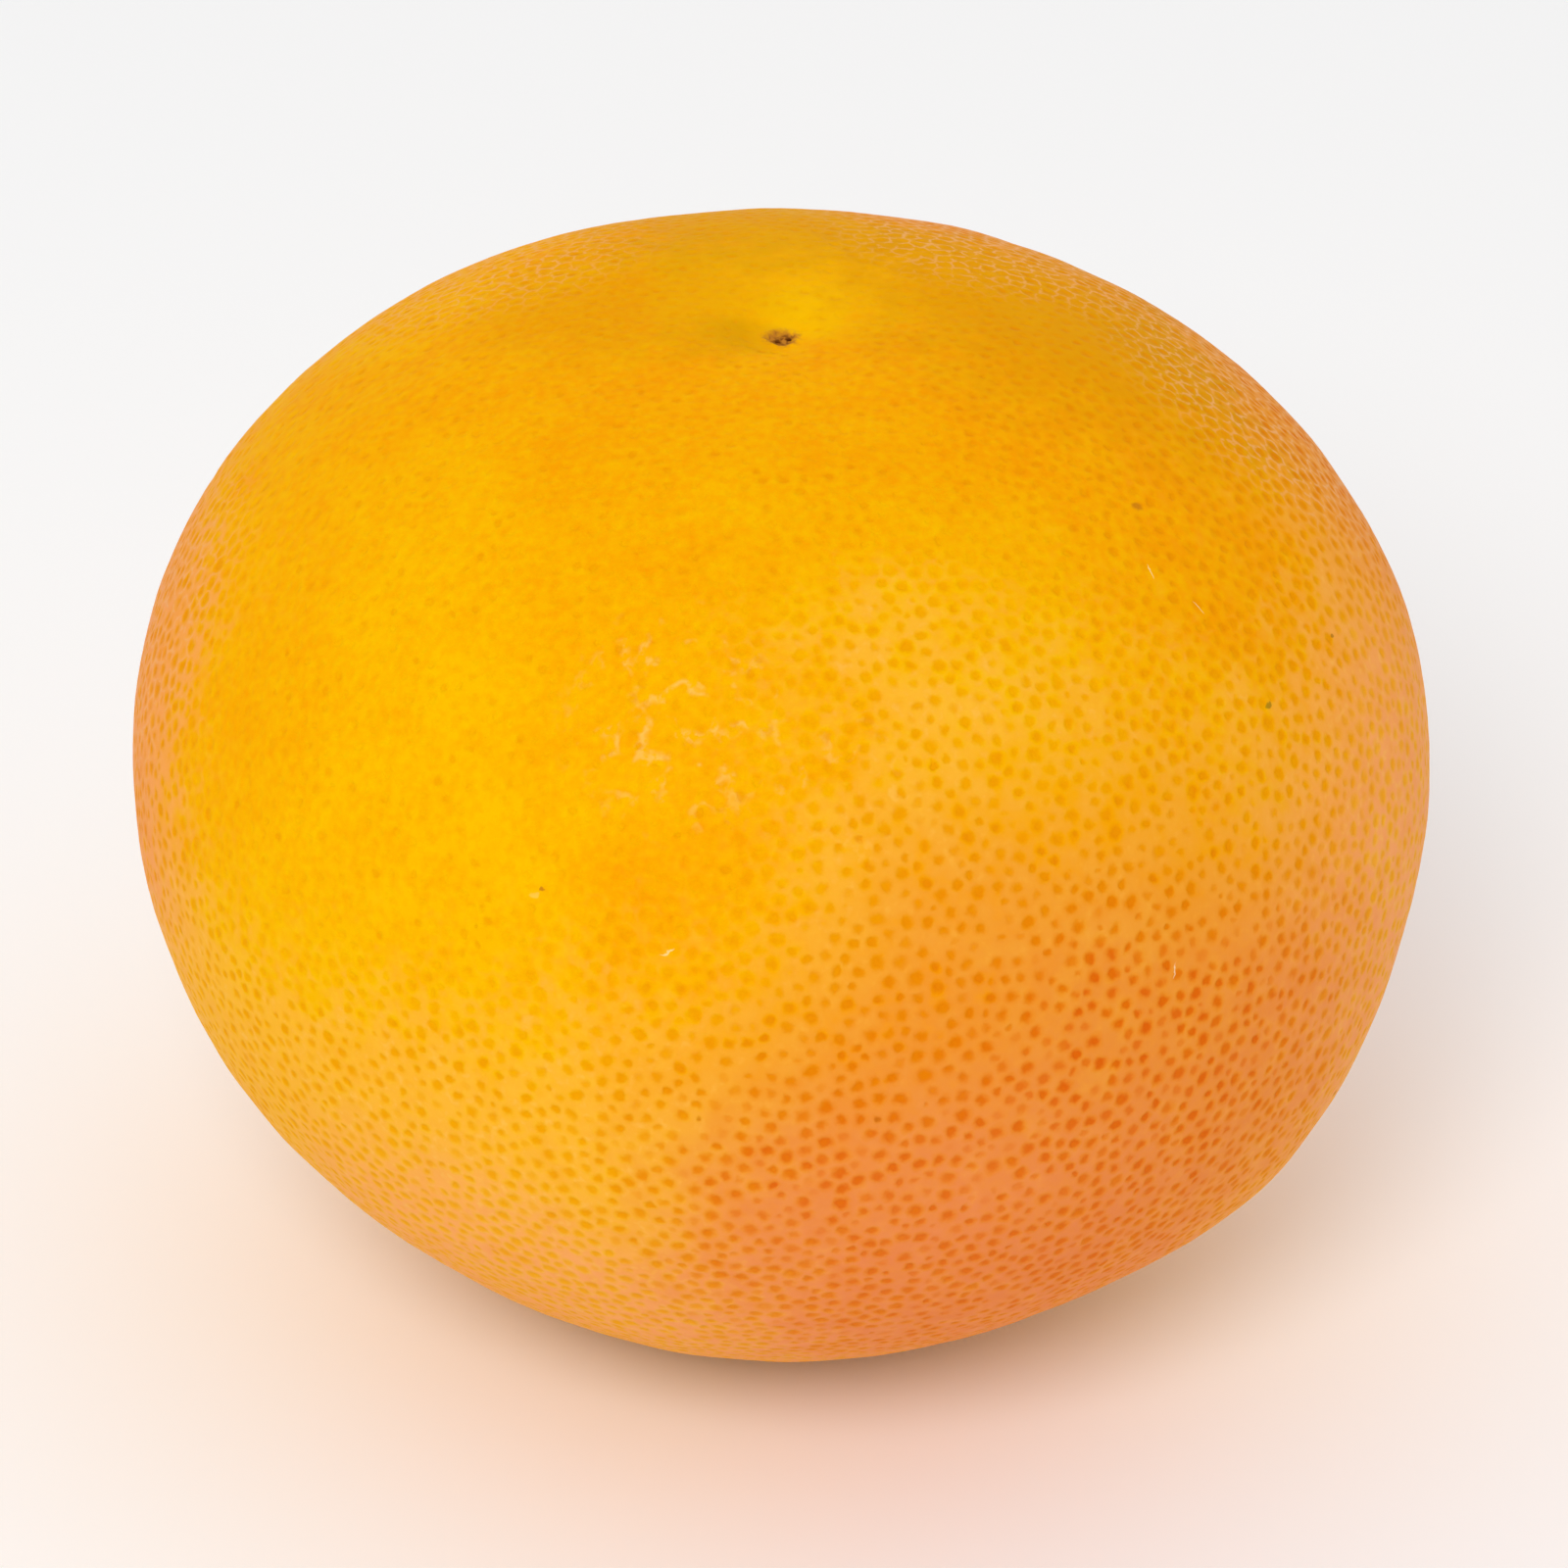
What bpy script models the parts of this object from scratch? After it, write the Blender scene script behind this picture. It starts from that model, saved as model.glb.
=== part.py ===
"""A whole grapefruit, standing on its stem end, as one closed solid.

Units are metres and +Z is up. The origin lies on the surface that the fruit rests on, under the
middle of its box. The side that the photograph shows faces -Y, and the blossom end is on top.
Azimuths are in degrees from +X towards +Y. Latitudes are in degrees above the widest plane.
"""

import math

import bmesh
import bpy
from mathutils import Vector

# Driving dimensions of the bare form, before its hollows and swells.
WIDTH = 0.1062
DEPTH = 0.1047
CROWN_HEIGHT = 0.0433
BASE_HEIGHT = 0.0456

# How square each half's outline is: 2 is an ellipse, and more is fuller at the shoulder.
CROWN_FULLNESS = 2.14
BASE_FULLNESS = 2.02

# Broad swells and flats of the rind: azimuth, latitude, spread in degrees, and height.
SWELLS = (
    (150.0, 44.0, 20.0, 0.0008),
    (18.0, 20.0, 14.0, 0.0005),
    (201.0, -18.0, 18.0, -0.0013),
    (230.0, -42.0, 21.0, -0.0025),
    (-27.0, -34.0, 13.0, 0.0014),
    (-62.0, -46.0, 14.0, -0.0017),
    (-11.0, -11.0, 13.0, -0.0008),
)

# Soft facets that the segments inside leave on the rind: how many round the fruit, how high,
# where the first one starts, and how far the row leans between the blossom end and the stem end.
FACET_WAVES = (
    (5, 0.00022, 40.0, 50.0),
    (8, 0.00012, 110.0, -80.0),
    (11, 0.00008, 15.0, 30.0),
)

# The blossom end is a broad shallow hollow with a small pit, where the style's scar sits.
BLOSSOM_HOLLOW_DEPTH = 0.0020
BLOSSOM_HOLLOW_SPREAD = 0.0125
BLOSSOM_PIT_DEPTH = 0.0006
BLOSSOM_PIT_SPREAD = 0.0022
SCAR_RADIUS = 0.0015
SCAR_RISE = 0.00025

# The stem end is a deeper hollow with short furrows that run out from the calyx.
STEM_HOLLOW_DEPTH = 0.0062
STEM_HOLLOW_SPREAD = 0.0058
FURROW_COUNT = 8
FURROW_DEPTH = 0.0006
FURROW_RADIUS = 0.0085
FURROW_SPREAD = 0.0030
FURROW_LEAN = 25.0

# The calyx is a low star of sepals round the stub of the cut stem.
SEPAL_COUNT = 5
CALYX_RADIUS = 0.0036
SEPAL_REACH = 0.0010
CALYX_RISE = 0.0010
STUB_RADIUS = 0.0015
STUB_RISE = 0.0009
EDGE_SOFTNESS = 0.0004

# How deep the rind is pressed flat where the fruit stands.
FLAT_SPOT_PRESS = 0.00038

# The mesh: meridians, rings, and how far the rings crowd towards the two ends.
MERIDIANS = 80
RINGS = 50
RING_CROWDING = 0.85

RIND_COLOUR = (0.93, 0.46, 0.04, 1.0)
RIND_ROUGHNESS = 0.42


def clear_scene():
    """Remove every object that the scene starts with."""
    for found in list(bpy.data.objects):
        bpy.data.objects.remove(found)


def bell(distance, spread):
    """Return a smooth bell of height 1 at distance 0."""
    return math.exp(-0.5 * (distance / spread) ** 2)


def step_down(distance, edge, softness):
    """Return 1 inside the edge and 0 outside it, with a soft turn between."""
    share = min(max((edge + softness - distance) / (2.0 * softness), 0.0), 1.0)
    return share * share * (3.0 - 2.0 * share)


def direction(azimuth, latitude):
    """Return the unit vector at an azimuth and a latitude, both in radians."""
    level = math.cos(latitude)
    return Vector((level * math.cos(azimuth), level * math.sin(azimuth), math.sin(latitude)))


def bare_radius(azimuth, latitude):
    """Return the distance from the centre to the rounded form, along one direction."""
    plan = 1.0 / math.hypot(2.0 * math.cos(azimuth) / WIDTH, 2.0 * math.sin(azimuth) / DEPTH)
    upper = latitude > 0.0
    fullness = CROWN_FULLNESS if upper else BASE_FULLNESS
    half_height = CROWN_HEIGHT if upper else BASE_HEIGHT
    across = (math.cos(latitude) / plan) ** fullness
    along = abs(math.sin(latitude) / half_height) ** fullness
    return (across + along) ** (-1.0 / fullness)


def swell(azimuth, latitude):
    """Return how far the broad swells and flats move the rind out. They fade out at both ends."""
    here = direction(azimuth, latitude)
    moved = 0.0
    for swell_azimuth, swell_latitude, spread, height in SWELLS:
        middle = direction(math.radians(swell_azimuth), math.radians(swell_latitude))
        moved += height * bell(here.angle(middle), math.radians(spread))
    return moved * math.cos(latitude) ** 2


def facet(azimuth, latitude):
    """Return how far the soft facets move the rind out. They fade out towards both ends."""
    moved = 0.0
    for count, height, start, lean in FACET_WAVES:
        turn = math.radians(start) + math.radians(lean) * math.sin(latitude)
        moved += height * math.cos(count * azimuth + turn)
    return moved * math.cos(latitude) ** 2


def blossom_end(reach):
    """Return how far the blossom end is lifted, at a distance from the axis."""
    hollow = BLOSSOM_HOLLOW_DEPTH * bell(reach, BLOSSOM_HOLLOW_SPREAD)
    pit = BLOSSOM_PIT_DEPTH * bell(reach, BLOSSOM_PIT_SPREAD)
    scar = SCAR_RISE * step_down(reach, SCAR_RADIUS, EDGE_SOFTNESS)
    return scar - hollow - pit


def stem_end(reach, azimuth):
    """Return how far the stem end is lifted, at a distance from the axis and an azimuth."""
    hollow = STEM_HOLLOW_DEPTH * bell(reach, STEM_HOLLOW_SPREAD)
    crease = 0.5 + 0.5 * math.cos(FURROW_COUNT * azimuth + math.radians(FURROW_LEAN))
    furrow = FURROW_DEPTH * crease * bell(reach - FURROW_RADIUS, FURROW_SPREAD)
    sepal = 0.5 + 0.5 * math.cos(SEPAL_COUNT * azimuth)
    calyx_edge = CALYX_RADIUS + SEPAL_REACH * sepal
    calyx = CALYX_RISE * step_down(reach, calyx_edge, EDGE_SOFTNESS)
    stub = STUB_RISE * step_down(reach, STUB_RADIUS, EDGE_SOFTNESS)
    return hollow + furrow - calyx - stub


def rind_point(azimuth, latitude):
    """Return the point of the rind that lies along one direction from the centre."""
    radius = bare_radius(azimuth, latitude) + swell(azimuth, latitude) + facet(azimuth, latitude)
    point = direction(azimuth, latitude) * radius
    reach = math.hypot(point.x, point.y)
    if latitude > 0.0:
        point.z += blossom_end(reach)
    else:
        point.z += stem_end(reach, azimuth)
    return point


def crowded_latitude(latitude):
    """Return an even ring's latitude moved towards the nearer end, where the detail is."""
    share = 0.5 - latitude / math.pi
    share -= RING_CROWDING * math.sin(2.0 * math.pi * share) / (2.0 * math.pi)
    return math.pi * (0.5 - share)


def stand_on_flat_spot(points):
    """Press the lowest rind flat, then put the origin under the middle of the box."""
    floor = min(point.z for point in points) + FLAT_SPOT_PRESS
    middle_x = 0.5 * (min(point.x for point in points) + max(point.x for point in points))
    middle_y = 0.5 * (min(point.y for point in points) + max(point.y for point in points))
    for point in points:
        point.x -= middle_x
        point.y -= middle_y
        point.z = max(point.z - floor, 0.0)


def rind_material():
    """Return the waxy orange-yellow finish of the rind."""
    material = bpy.data.materials.new("rind")
    material.use_nodes = True
    shader = material.node_tree.nodes["Principled BSDF"]
    shader.inputs["Base Color"].default_value = RIND_COLOUR
    shader.inputs["Roughness"].default_value = RIND_ROUGHNESS
    shader.inputs["Metallic"].default_value = 0.0
    return material


def build_fruit():
    """Return the fruit, shaped from a sphere by the rind's formula."""
    shape = bmesh.new()
    bmesh.ops.create_uvsphere(shape, u_segments=MERIDIANS, v_segments=RINGS, radius=1.0)
    points = []
    for vertex in shape.verts:
        azimuth = math.atan2(vertex.co.y, vertex.co.x)
        latitude = math.asin(max(-1.0, min(1.0, vertex.co.z)))
        points.append(rind_point(azimuth, crowded_latitude(latitude)))
    stand_on_flat_spot(points)
    for vertex, point in zip(shape.verts, points):
        vertex.co = point
    bmesh.ops.recalc_face_normals(shape, faces=shape.faces)
    mesh = bpy.data.meshes.new("grapefruit")
    shape.to_mesh(mesh)
    shape.free()
    mesh.shade_smooth()
    mesh.materials.append(rind_material())
    return bpy.data.objects.new("grapefruit", mesh)


def main():
    """Build the fruit in a collection of its own."""
    clear_scene()
    collection = bpy.data.collections.new("grapefruit")
    bpy.context.scene.collection.children.link(collection)
    collection.objects.link(build_fruit())


if __name__ == "__main__":
    main()
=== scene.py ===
"""A whole grapefruit: its rind with oil glands, the style's scar and the calyx, with camera and light.

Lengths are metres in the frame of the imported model. +Z is up, and the side that the photograph shows
faces -Y. Azimuths are degrees from +X towards +Y. Latitudes are degrees above the middle of the fruit.
"""

import logging
import math
import random
from collections.abc import Mapping, Sequence
from dataclasses import dataclass, field
from enum import Enum
from typing import Any

import bmesh
import bpy
import numpy as np
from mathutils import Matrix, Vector, noise
from mathutils.bvhtree import BVHTree
from mathutils.geometry import delaunay_2d_cdt
from mathutils.kdtree import KDTree


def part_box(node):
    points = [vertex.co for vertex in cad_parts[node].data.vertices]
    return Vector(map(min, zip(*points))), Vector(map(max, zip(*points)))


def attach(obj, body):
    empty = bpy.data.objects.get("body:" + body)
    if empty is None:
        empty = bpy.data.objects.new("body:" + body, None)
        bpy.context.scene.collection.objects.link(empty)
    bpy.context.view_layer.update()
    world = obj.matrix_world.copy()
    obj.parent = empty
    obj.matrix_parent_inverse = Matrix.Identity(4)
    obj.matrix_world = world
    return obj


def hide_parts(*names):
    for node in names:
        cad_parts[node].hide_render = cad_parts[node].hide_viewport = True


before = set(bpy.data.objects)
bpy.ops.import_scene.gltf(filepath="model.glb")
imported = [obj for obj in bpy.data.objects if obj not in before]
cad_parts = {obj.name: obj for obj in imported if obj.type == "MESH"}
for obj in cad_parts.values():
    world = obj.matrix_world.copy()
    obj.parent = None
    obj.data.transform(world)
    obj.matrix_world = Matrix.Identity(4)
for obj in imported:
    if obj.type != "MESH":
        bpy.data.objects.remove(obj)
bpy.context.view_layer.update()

LOG = logging.getLogger("grapefruit")

FRUIT = "grapefruit"
BODY = "root"

Colour = tuple[float, float, float, float]
Triple = tuple[float, float, float]

# An even spiral turns by this from one point to the next, and even rows lie this share of their
# spacing apart.
GOLDEN_TURN = math.pi * (3.0 - math.sqrt(5.0))
ROW_HEIGHT = math.sqrt(0.75)
UP = Vector((0.0, 0.0, 1.0))


def srgb(code: str) -> Colour:
    """Turn a hex colour into the linear colour that a shader takes.

    Args:
        code: Six hex digits, red first, as in "FCBA02".

    Returns:
        Linear red, green and blue, and an alpha of 1.
    """
    shares = (int(code[place:place + 2], 16) / 255.0 for place in (0, 2, 4))
    linear = [c / 12.92 if c <= 0.04045 else ((c + 0.055) / 1.055) ** 2.4 for c in shares]
    return (linear[0], linear[1], linear[2], 1.0)


def towards(azimuth: float, latitude: float) -> Vector:
    """Return the unit vector at an azimuth and a latitude, both in degrees."""
    turn = math.radians(azimuth)
    rise = math.radians(latitude)
    level = math.cos(rise)
    return Vector((level * math.cos(turn), level * math.sin(turn), math.sin(rise)))


def ease(value: float, start: float, end: float) -> float:
    """Ease from 0 at start to 1 at end.

    Args:
        value: The value that moves.
        start: Where the result is 0.
        end: Where the result is 1. It may be below start.

    Returns:
        A share between 0 and 1, level at both ends.
    """
    share = min(max((value - start) / (end - start), 0.0), 1.0)
    return share * share * (3.0 - 2.0 * share)


def add(name: str, data: Any) -> bpy.types.Object:
    """Add an object with its data to the scene."""
    added = bpy.data.objects.new(name, data)
    bpy.context.scene.collection.objects.link(added)
    return added


def add_shape(name: str, shape: bmesh.types.BMesh) -> bpy.types.Object:
    """Add a shape to the scene as a smooth mesh, and free it."""
    mesh = bpy.data.meshes.new(name)
    shape.to_mesh(mesh)
    shape.free()
    mesh.shade_smooth()
    return add(name, mesh)


def look_back(added: bpy.types.Object, point: Vector, back: Vector) -> None:
    """Stand a light or a camera off a point and let it look back at that point."""
    added.location = point + back
    added.rotation_euler = (-back).to_track_quat("-Z", "Y").to_euler()


class Value:
    """A socket's value, with arithmetic that adds Math nodes to its tree."""

    def __init__(self, tree: "ShaderTree", socket: bpy.types.NodeSocket) -> None:
        """Wrap one output socket."""
        self.tree = tree
        self.socket = socket

    def math(self, operation: str, first: Any, second: Any = 0.0) -> "Value":
        """Return the result of a Math node on two operands, each a value or a number."""
        return self.tree.node("ShaderNodeMath", {"operation": operation}, {0: first, 1: second})

    def __add__(self, other: Any) -> "Value":
        """Return self + other."""
        return self.math("ADD", self, other)

    def __radd__(self, other: Any) -> "Value":
        """Return other + self."""
        return self.math("ADD", other, self)

    def __sub__(self, other: Any) -> "Value":
        """Return self - other."""
        return self.math("SUBTRACT", self, other)

    def __rsub__(self, other: Any) -> "Value":
        """Return other - self."""
        return self.math("SUBTRACT", other, self)

    def __mul__(self, other: Any) -> "Value":
        """Return self * other."""
        return self.math("MULTIPLY", self, other)

    def __rmul__(self, other: Any) -> "Value":
        """Return other * self."""
        return self.math("MULTIPLY", other, self)

    def most(self, other: Any) -> "Value":
        """Return the larger of self and other."""
        return self.math("MAXIMUM", self, other)

    def least(self, other: Any) -> "Value":
        """Return the smaller of self and other."""
        return self.math("MINIMUM", self, other)

    def size(self) -> "Value":
        """Return how far self is from zero."""
        return self.math("ABSOLUTE", self)

    def ease(self, start: Any, end: Any) -> "Value":
        """Ease from 0 at start to 1 at end, which may be below start."""
        sockets = {"Value": self, "From Min": start, "From Max": end}
        return self.tree.node("ShaderNodeMapRange", {"interpolation_type": "SMOOTHSTEP"}, sockets)


class ShaderTree:
    """A material's node tree, with short ways to add nodes to it."""

    FACTOR, FIRST_COLOUR, SECOND_COLOUR, MIXED_COLOUR = 0, 6, 7, 2

    def __init__(self, name: str) -> None:
        """Start a material with a Principled shader.

        Args:
            name: The material's name.
        """
        self.material = bpy.data.materials.new(name)
        self.material.use_nodes = True
        self.nodes = self.material.node_tree.nodes
        self.links = self.material.node_tree.links
        self.shader = self.nodes["Principled BSDF"]

    def node(
        self,
        kind: str,
        settings: Mapping[str, Any] | None = None,
        sockets: Mapping[int | str, Any] | None = None,
        output: int | str = 0,
    ) -> Value:
        """Add a node.

        Args:
            kind: The node's type.
            settings: Its settings, set before its sockets.
            sockets: The value or the link of each input, by name or number.
            output: The output that is wanted, by name or number.

        Returns:
            That output.
        """
        made = self.nodes.new(kind)
        for name, setting in (settings or {}).items():
            setattr(made, name, setting)
        for name, wanted in (sockets or {}).items():
            self.plug(made.inputs[name], wanted)
        return Value(self, made.outputs[output])

    def plug(self, socket: bpy.types.NodeSocket, wanted: Any) -> None:
        """Give an input socket a link, or a number, vector or hex colour of its own."""
        if isinstance(wanted, Value):
            self.links.new(wanted.socket, socket)
        else:
            socket.default_value = srgb(wanted) if isinstance(wanted, str) else wanted

    def finish(self, **sockets: Any) -> bpy.types.Material:
        """Set the shader's own sockets.

        Args:
            sockets: The value or the link of each input, with _ for a space in its name.

        Returns:
            The material.
        """
        for name, wanted in sockets.items():
            self.plug(self.shader.inputs[name.replace("_", " ")], wanted)
        return self.material

    def mix(self, share: Any, first: Any, second: Any) -> Value:
        """Mix a share of the second colour in the first. Each is a hex colour or a value."""
        sockets = {self.FACTOR: share, self.FIRST_COLOUR: first, self.SECOND_COLOUR: second}
        return self.node("ShaderNodeMix", {"data_type": "RGBA"}, sockets, self.MIXED_COLOUR)

    def vector(self, operation: str, first: Any, second: Any) -> Value:
        """Return a Vector Math node's result, a number for a dot product or a distance."""
        output = "Value" if operation in ("DOT_PRODUCT", "DISTANCE") else "Vector"
        return self.node("ShaderNodeVectorMath", {"operation": operation}, {0: first, 1: second}, output)

    def attribute(self, name: str) -> Value:
        """Return a mesh attribute as a vector."""
        return self.node("ShaderNodeAttribute", {"attribute_name": name}, output="Vector")

    def parts(self, vector: Value) -> list[Value]:
        """Return a vector's three numbers."""
        split = self.node("ShaderNodeSeparateXYZ", sockets={0: vector}).socket.node
        return [Value(self, output) for output in split.outputs]

    def place(self) -> Value:
        """Return the place on the surface, in the object's own metres."""
        return self.node("ShaderNodeTexCoord", output="Object")

    def noise(self, place: Value, size: float, detail: float = 2.0, output: str = "Factor") -> Value:
        """Return noise with main blotches of this size, as a share round 0.5 or as a colour."""
        sockets = {"Vector": place, "Scale": 1.0 / size, "Detail": detail}
        return self.node("ShaderNodeTexNoise", None, sockets, 0 if output == "Factor" else 1)

    def bump(self, height: Value, strength: float, depth: float) -> Value:
        """Return the normals of a finely uneven surface."""
        sockets = {"Strength": strength, "Distance": depth, "Height": height}
        return self.node("ShaderNodeBump", None, sockets, "Normal")


@dataclass(frozen=True)
class Patch:
    """A soft round patch of the rind.

    Attributes:
        azimuth: Its middle's azimuth in degrees.
        latitude: Its middle's latitude in degrees.
        full: Within how many degrees of its middle it is full.
        fade: At how many degrees it has faded out.
        weight: How much it covers.
    """

    azimuth: float
    latitude: float
    full: float
    fade: float
    weight: float = 1.0


Patches = tuple[Patch, ...]


class PatchMap:
    """Soft masks of patches that are laid over each other, with edges that wander."""

    def __init__(self, tree: ShaderTree, place: Value, middle: Vector) -> None:
        """Prepare the direction from the fruit's middle to each place.

        Args:
            tree: The tree that the masks go in.
            place: The place on the surface.
            middle: The middle of the fruit.
        """
        self.tree = tree
        outwards = tree.vector("SUBTRACT", place, tuple(middle))
        self.direction = tree.vector("NORMALIZE", outwards, (0.0, 0.0, 0.0))

    def mask(self, patches: Sequence[Patch], wander: Value | float = 0.0, base: float = 0.0) -> Value:
        """Lay patches over each other.

        Args:
            patches: The patches. Each covers its share of what the ones before it leave.
            wander: Moves the patches' edges, as a share of how wide each edge is.
            base: What the mask is away from all of them.

        Returns:
            The mask.
        """
        total: Value | float = base
        for patch in patches:
            axis = tuple(towards(patch.azimuth, patch.latitude))
            cosine = self.tree.vector("DOT_PRODUCT", self.direction, axis)
            full = math.cos(math.radians(patch.full))
            fade = math.cos(math.radians(patch.fade))
            covered = (cosine + wander * (full - fade)).ease(fade, full) * patch.weight
            total = covered * (1.0 - total) + total
        return total


@dataclass
class FruitForm:
    """The fruit's smooth form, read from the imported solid.

    Attributes:
        rounding: How many times the solid's faces are subdivided and smoothed.
        weld: Corners nearer than this are one corner.
        flat_turn: Two triangles that turn by less than this, in degrees, are joined in a quad.
    """

    rounding: int = 2
    weld: float = 0.000002
    flat_turn: float = 40.0
    middle: Vector = field(init=False)
    low: Vector = field(init=False)
    high: Vector = field(init=False)
    surface: BVHTree = field(init=False)

    def __post_init__(self) -> None:
        """Read the solid's box and round its surface."""
        self.low, self.high = (Vector(corner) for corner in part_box(FRUIT))
        self.middle = (self.low + self.high) / 2.0
        self.surface = self._rounded()

    def _rounded(self) -> BVHTree:
        """Return the surface of the solid, subdivided and smoothed."""
        shape = bmesh.new()
        shape.from_mesh(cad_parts[FRUIT].data)
        bmesh.ops.remove_doubles(shape, verts=shape.verts, dist=self.weld)
        limit = math.radians(self.flat_turn)
        bmesh.ops.join_triangles(
            shape, faces=shape.faces, angle_face_threshold=limit, angle_shape_threshold=limit
        )
        guide = add_shape("rounding_guide", shape)
        mesh = guide.data
        modifier = guide.modifiers.new("rounding", "SUBSURF")
        modifier.levels = self.rounding
        modifier.render_levels = self.rounding
        tree = BVHTree.FromObject(guide, bpy.context.evaluated_depsgraph_get())
        bpy.data.objects.remove(guide)
        bpy.data.meshes.remove(mesh)
        return tree

    def at(self, direction: Vector) -> tuple[Vector, Vector]:
        """Return the place and the outward normal of the form along a direction from its middle."""
        place, normal, _, _ = self.surface.ray_cast(self.middle, direction)
        return place, normal

    def below(self, x: float, y: float) -> float:
        """Return the height of the form's underside over a place on the floor."""
        start = Vector((x, y, self.low.z - self.high.z))
        return self.surface.ray_cast(start, UP)[0].z

    def along(self, directions: np.ndarray) -> tuple[np.ndarray, np.ndarray]:
        """Return the places and normals along many directions, as rows."""
        found = [self.at(Vector(row)) for row in directions]
        places = np.array([tuple(place) for place, _ in found])
        normals = np.array([tuple(normal) for _, normal in found])
        return places, normals


@dataclass(frozen=True)
class GlandShape:
    """How one kind of oil gland usually looks.

    Attributes:
        share: How many of the glands are of this kind.
        radius: Usual radius.
        radius_spread: How far the radius strays.
        tone: Usual depth of colour, from 0 to 1.
        tone_spread: How far the depth of colour strays.
        cork: How far it has turned to brown cork, from 0 to 1.
    """

    share: float
    radius: float
    radius_spread: float
    tone: float
    tone_spread: float
    cork: float = 0.0


class GlandKind(Enum):
    """The kinds of oil gland."""

    LARGE = GlandShape(0.68, 0.00043, 0.00005, 0.97, 0.14)
    SMALL = GlandShape(0.3194, 0.00035, 0.00006, 0.62, 0.20)
    CORKED = GlandShape(0.0006, 0.00036, 0.00005, 1.0, 0.1, 0.40)


@dataclass
class GlandLayout:
    """Where the oil glands lie, and how each one looks.

    Attributes:
        form: The fruit's form.
        spacing: Usual distance between neighbours.
        jitter: How far a gland strays from an even spiral, in spacings.
        rounds: How often glands that lie too near each other push apart.
        push: How far they push, as a share of what is missing.
        comfort: The distance, in spacings, under which two glands of middling size push.
        neighbours: How many neighbours push.
        scar_clearing: No gland lies nearer than this to the scar's middle.
        calyx_clearing: No gland lies nearer than this to the calyx's middle.
        radius_limits: The smallest and the largest radius.
        tone_limits: The palest and the deepest colour.
        seed: The seed of all random draws.
    """

    form: FruitForm
    spacing: float = 0.00152
    jitter: float = 0.50
    rounds: int = 6
    push: float = 0.40
    comfort: float = 0.97
    neighbours: int = 6
    scar_clearing: float = 0.0021
    calyx_clearing: float = 0.0055
    radius_limits: tuple[float, float] = (0.00018, 0.00072)
    tone_limits: tuple[float, float] = (0.15, 1.15)
    seed: int = 41
    places: np.ndarray = field(init=False)
    looks: np.ndarray = field(init=False)
    tree: KDTree = field(init=False)

    def __post_init__(self) -> None:
        """Scatter the glands, push them apart and give each its look."""
        draw = np.random.default_rng(self.seed)
        places = self._spiral(draw)
        looks = self._looks(draw, len(places))
        for _ in range(self.rounds):
            places = self._pushed_apart(places, looks[:, 0] / looks[:, 0].mean())
        across = np.hypot(places[:, 0], places[:, 1])
        above = places[:, 2] > self.form.middle.z
        clear = across > np.where(above, self.scar_clearing, self.calyx_clearing)
        self.places = places[clear]
        self.looks = looks[clear]
        self.tree = self._tree_of(self.places)

    def _spiral(self, draw: np.random.Generator) -> np.ndarray:
        """Return an even spiral of places over the whole form, each moved at random."""
        size = self.form.high - self.form.low
        girth = (size.x + size.y) / 4.0
        area = 4.0 * math.pi * girth * (girth + size.z) / 3.0
        count = round(area / (ROW_HEIGHT * self.spacing ** 2))
        step = np.arange(count) + 0.5
        height = 1.0 - 2.0 * step / count
        turn = step * GOLDEN_TURN
        level = np.sqrt(1.0 - height ** 2)
        rows = np.stack([level * np.cos(turn), level * np.sin(turn), height], axis=1)
        rows += draw.normal(0.0, self.jitter * self.spacing / girth / math.sqrt(2.0), rows.shape)
        return self.form.along(rows)[0]

    @staticmethod
    def _tree_of(places: np.ndarray) -> KDTree:
        """Return a search tree over places."""
        tree = KDTree(len(places))
        for number, place in enumerate(places):
            tree.insert(place, number)
        tree.balance()
        return tree

    def _pushed_apart(self, places: np.ndarray, sizes: np.ndarray) -> np.ndarray:
        """Let neighbours that are too near push each other away.

        Args:
            places: Where the glands lie.
            sizes: Each gland's size, as a share of the middling one. Large ones need more room.

        Returns:
            The new places.
        """
        tree = self._tree_of(places)
        near = np.array([[n[1] for n in tree.find_n(place, self.neighbours + 1)[1:]] for place in places])
        away = places[:, None, :] - places[near]
        distance = np.linalg.norm(away, axis=2, keepdims=True)
        room = (sizes[:, None] + sizes[near])[:, :, None] / 2.0
        missing = np.clip(self.comfort * self.spacing * room - distance, 0.0, None)
        moved = places + self.push * (away / np.maximum(distance, 1e-9) * missing).sum(axis=1)
        return self.form.along(moved - np.array(self.form.middle))[0]

    def _looks(self, draw: np.random.Generator, count: int) -> np.ndarray:
        """Return radius, depth of colour and cork of each gland, as rows."""
        shapes = [kind.value for kind in GlandKind]
        picks = draw.choice(len(shapes), size=count, p=[shape.share for shape in shapes])
        usual = np.array([[shape.radius, shape.tone, shape.cork] for shape in shapes])[picks]
        spreads = np.array([[shape.radius_spread, shape.tone_spread, 0.0] for shape in shapes])[picks]
        looks = usual + spreads * draw.normal(0.0, 1.0, usual.shape)
        looks[:, 0] = np.clip(looks[:, 0], *self.radius_limits)
        looks[:, 1] = np.clip(looks[:, 1], *self.tone_limits)
        return looks


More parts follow.
